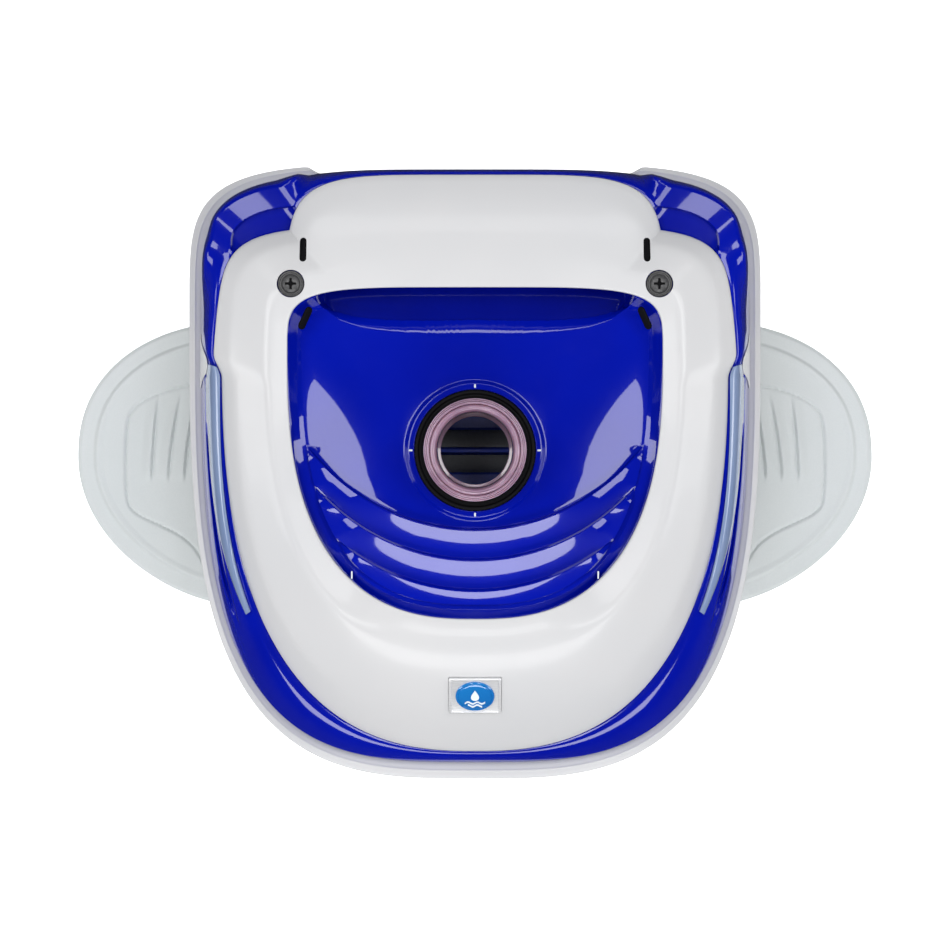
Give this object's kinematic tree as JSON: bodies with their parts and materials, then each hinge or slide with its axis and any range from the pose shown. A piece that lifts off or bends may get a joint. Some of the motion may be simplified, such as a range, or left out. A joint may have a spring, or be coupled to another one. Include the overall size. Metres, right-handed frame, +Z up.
{
  "type": "pool cleaner",
  "caption": "Suction-side walking pool cleaner: rounded two-tone hull, rear carry bar, central hose swivel, side wings, turbine gear train and rocking feet.",
  "frame": {"origin": "on the floor under the middle of the cleaner", "axes": "+Z up, +Y to the rear with the carry bar, +X to the right"},
  "size_m": [0.547, 0.414, 0.201],
  "materials": {
    "white_shell": "gloss white moulding",
    "blue_shell": "deep gloss royal blue moulding",
    "vane_plastic": "satin blue moulding",
    "wing_plastic": "soft pale grey, fine matt grain",
    "black_rubber": "black, matt",
    "socket_grey": "dark grey satin moulding",
    "socket_rose": "pinkish grey, polished",
    "nylon": "natural nylon",
    "grey_nylon": "filled grey nylon",
    "bright_steel": "stainless",
    "black_steel": "black coated steel",
    "bronze": "sintered bronze",
    "foam": "closed cell foam",
    "badge_silver": "bright trim",
    "badge_blue": "domed clear resin over blue"
  },
  "bodies": {
    "hull": {"top_cover": "white_shell", "lower_body": "white_shell", "upper_body": "blue_shell", "inlet_throat": "blue_shell", "socket_seal": "black_rubber", "swivel_bushing": "nylon", "chamber_lower": "grey_nylon", "chamber_upper": "grey_nylon", "pivot_pin_left": "bright_steel", "pivot_pin_right": "bright_steel", "wing_pin_left": "bright_steel", "wing_pin_right": "bright_steel", "front_flap_pin": "bright_steel", "rear_flap_pin": "bright_steel", "medium_axle_left": "bright_steel", "medium_axle_right": "bright_steel", "drive_axle_left": "bright_steel", "drive_axle_right": "bright_steel", "body_screw_rear_left": "bright_steel", "body_screw_rear_right": "bright_steel", "body_screw_front_left": "bright_steel", "body_screw_front_right": "bright_steel", "cover_screw_left": "black_steel", "cover_screw_right": "black_steel", "ballast_weight": "black_steel", "turbine_bearing_left": "bronze", "turbine_bearing_right": "bronze", "foam_float": "foam", "badge_bezel": "badge_silver", "badge_lens": "badge_blue"},
    "turbine": {"turbine_hub": "grey_nylon", "spindle_gear_left": "nylon", "spindle_gear_right": "nylon"},
    "swivel": {"swivel_socket": "socket_grey", "socket_sleeve": "socket_rose"},
    "steering": {"steering_shaft": "nylon"},
    "front_flap": {"front_flap": "wing_plastic"},
    "rear_flap": {"rear_flap": "wing_plastic"},
    "vane_1": {"turbine_vane_1": "vane_plastic"},
    "vane_2": {"turbine_vane_2": "vane_plastic"},
    "vane_3": {"turbine_vane_3": "vane_plastic"},
    "vane_4": {"turbine_vane_4": "vane_plastic"},
    "vane_5": {"turbine_vane_5": "vane_plastic"},
    "medium_left": {"medium_gear_left": "nylon"},
    "drive_left": {"drive_gear_left": "nylon"},
    "rocker_left": {"a_frame_left": "grey_nylon", "pod_left": "white_shell", "shoe_front_left": "black_rubber", "shoe_rear_left": "black_rubber"},
    "wing_left": {"wing_left": "wing_plastic"},
    "medium_right": {"medium_gear_right": "nylon"},
    "drive_right": {"drive_gear_right": "nylon"},
    "rocker_right": {"a_frame_right": "grey_nylon", "pod_right": "white_shell", "shoe_front_right": "black_rubber", "shoe_rear_right": "black_rubber"},
    "wing_right": {"wing_right": "wing_plastic"}
  },
  "joints": [
    {"name": "turbine_spin", "type": "hinge", "parent": "hull", "child": "turbine", "pos_m": [0, 0.0135, 0.092], "axis": [1, 0, 0], "continuous": true},
    {"name": "vane_1_tilt", "type": "hinge", "parent": "turbine", "child": "vane_1", "pos_m": [0, 0.0135, 0.1064], "axis": [1, 0, 0], "range_deg": [-28, 28]},
    {"name": "vane_2_tilt", "type": "hinge", "parent": "turbine", "child": "vane_2", "pos_m": [0, -0.00019, 0.09645], "axis": [1, 0, 0], "range_deg": [-28, 28]},
    {"name": "vane_3_tilt", "type": "hinge", "parent": "turbine", "child": "vane_3", "pos_m": [0, 0.00504, 0.08035], "axis": [1, 0, 0], "range_deg": [-28, 28]},
    {"name": "vane_4_tilt", "type": "hinge", "parent": "turbine", "child": "vane_4", "pos_m": [0, 0.02196, 0.08035], "axis": [1, 0, 0], "range_deg": [-28, 28]},
    {"name": "vane_5_tilt", "type": "hinge", "parent": "turbine", "child": "vane_5", "pos_m": [0, 0.0272, 0.09645], "axis": [1, 0, 0], "range_deg": [-28, 28]},
    {"name": "medium_left_spin", "type": "hinge", "parent": "hull", "child": "medium_left", "pos_m": [-0.05, 0.0495, 0.092], "axis": [1, 0, 0], "continuous": true},
    {"name": "drive_left_spin", "type": "hinge", "parent": "hull", "child": "drive_left", "pos_m": [-0.059, 0.01313, 0.113], "axis": [1, 0, 0], "continuous": true},
    {"name": "rocker_left_rock", "type": "hinge", "parent": "hull", "child": "rocker_left", "pos_m": [-0.071, 0.0135, 0.066], "axis": [1, 0, 0], "range_deg": [-8, 8]},
    {"name": "wing_left_lift", "type": "hinge", "parent": "hull", "child": "wing_left", "pos_m": [-0.1665, 0.01, 0.032], "axis": [0, 1, 0], "range_deg": [0, 15]},
    {"name": "medium_right_spin", "type": "hinge", "parent": "hull", "child": "medium_right", "pos_m": [0.05, 0.0495, 0.092], "axis": [1, 0, 0], "continuous": true},
    {"name": "drive_right_spin", "type": "hinge", "parent": "hull", "child": "drive_right", "pos_m": [0.059, 0.01313, 0.113], "axis": [1, 0, 0], "continuous": true},
    {"name": "rocker_right_rock", "type": "hinge", "parent": "hull", "child": "rocker_right", "pos_m": [0.071, 0.0135, 0.066], "axis": [1, 0, 0], "range_deg": [-8, 8]},
    {"name": "wing_right_lift", "type": "hinge", "parent": "hull", "child": "wing_right", "pos_m": [0.1665, 0.01, 0.032], "axis": [0, -1, 0], "range_deg": [0, 15]},
    {"name": "swivel_turn", "type": "hinge", "parent": "hull", "child": "swivel", "pos_m": [0, 0.0135, 0.16], "axis": [0, 0, 1], "continuous": true},
    {"name": "steering_turn", "type": "hinge", "parent": "hull", "child": "steering", "pos_m": [0, -0.0405, 0.09], "axis": [0, 0, 1], "continuous": true},
    {"name": "front_flap_swing", "type": "hinge", "parent": "hull", "child": "front_flap", "pos_m": [0, -0.15, 0.032], "axis": [1, 0, 0], "range_deg": [-35, 35]},
    {"name": "rear_flap_swing", "type": "hinge", "parent": "hull", "child": "rear_flap", "pos_m": [0, 0.165, 0.032], "axis": [1, 0, 0], "range_deg": [-35, 35]}
  ],
  "couplings": [
    {"joint": "medium_left_spin", "follows": "turbine_spin", "ratio": -0.33333},
    {"joint": "drive_left_spin", "follows": "turbine_spin", "ratio": 0.13333},
    {"joint": "medium_right_spin", "follows": "turbine_spin", "ratio": -0.33333},
    {"joint": "drive_right_spin", "follows": "turbine_spin", "ratio": 0.13333},
    {"joint": "rocker_right_rock", "follows": "rocker_left_rock", "ratio": -1},
    {"joint": "steering_turn", "follows": "swivel_turn", "ratio": -2.6}
  ]
}
